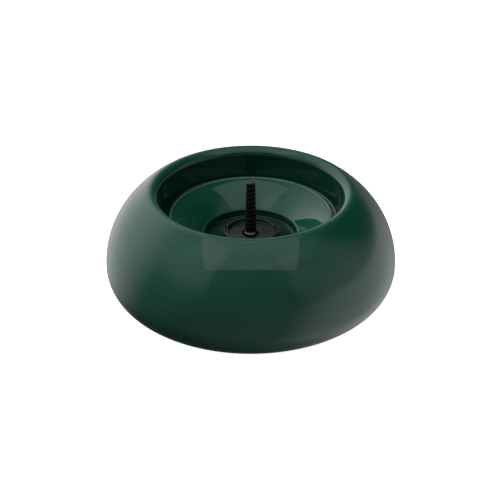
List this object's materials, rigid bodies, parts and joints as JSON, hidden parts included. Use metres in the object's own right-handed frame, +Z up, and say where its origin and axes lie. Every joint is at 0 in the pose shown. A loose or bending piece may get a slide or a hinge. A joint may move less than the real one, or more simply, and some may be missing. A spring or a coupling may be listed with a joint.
{
  "type": "christmas tree stand",
  "caption": "Round domed tree stand in glossy dark green plastic, with a stepped water bowl, a notched trunk plate and a black screw spike turned by a hand wheel underneath.",
  "frame": {"origin": "on the floor, under the centre of the spike, at the level of the feet's soles", "axes": "+Z up along the spike's axis; the body is round, X runs through the trunk plate's finger grips, and Y through its notches"},
  "size_m": [0.3699, 0.37, 0.145],
  "materials": {
    "shell_green": "dark green moulded plastic, high gloss",
    "bowl_green": "dark green moulded plastic, high gloss",
    "plate_black": "black glass-filled plastic, satin",
    "spike_black": "black oxide and oil on steel, satin",
    "zinc_steel": "zinc plated",
    "spring_steel": "phosphated spring steel",
    "cast_alloy": "as cast, machined seats",
    "bronze": "sintered bronze",
    "frame_black": "black glass-filled plastic, fine spark texture",
    "wheel_black": "black moulded plastic",
    "seal_rubber": "moulded rubber",
    "foot_rubber": "soft grey-black rubber"
  },
  "bodies": {
    "stand": {"outer_shell": "shell_green", "water_bowl": "bowl_green", "rim_seal": "seal_rubber", "trunk_plate": "plate_black", "shaft_seal": "seal_rubber", "hub_gasket": "seal_rubber", "spindle_housing": "cast_alloy", "bearing_sleeve": "bronze", "base_frame": "frame_black", "rubber_feet": "foot_rubber", "plate_screws": "zinc_steel", "plate_washers": "zinc_steel", "shell_screws": "zinc_steel", "housing_bolts": "zinc_steel"},
    "spindle": {"trunk_spike": "spike_black", "spike_collar": "spike_black", "collar_pin": "zinc_steel", "thrust_washer": "zinc_steel", "retaining_ring": "spring_steel", "drive_wheel": "wheel_black", "wheel_washer": "zinc_steel", "wheel_nut": "zinc_steel"}
  },
  "joints": [
    {"name": "spike_spin", "type": "hinge", "parent": "stand", "child": "spindle", "pos_m": [0, 0, 0.05], "axis": [0, 0, 1], "continuous": true}
  ]
}
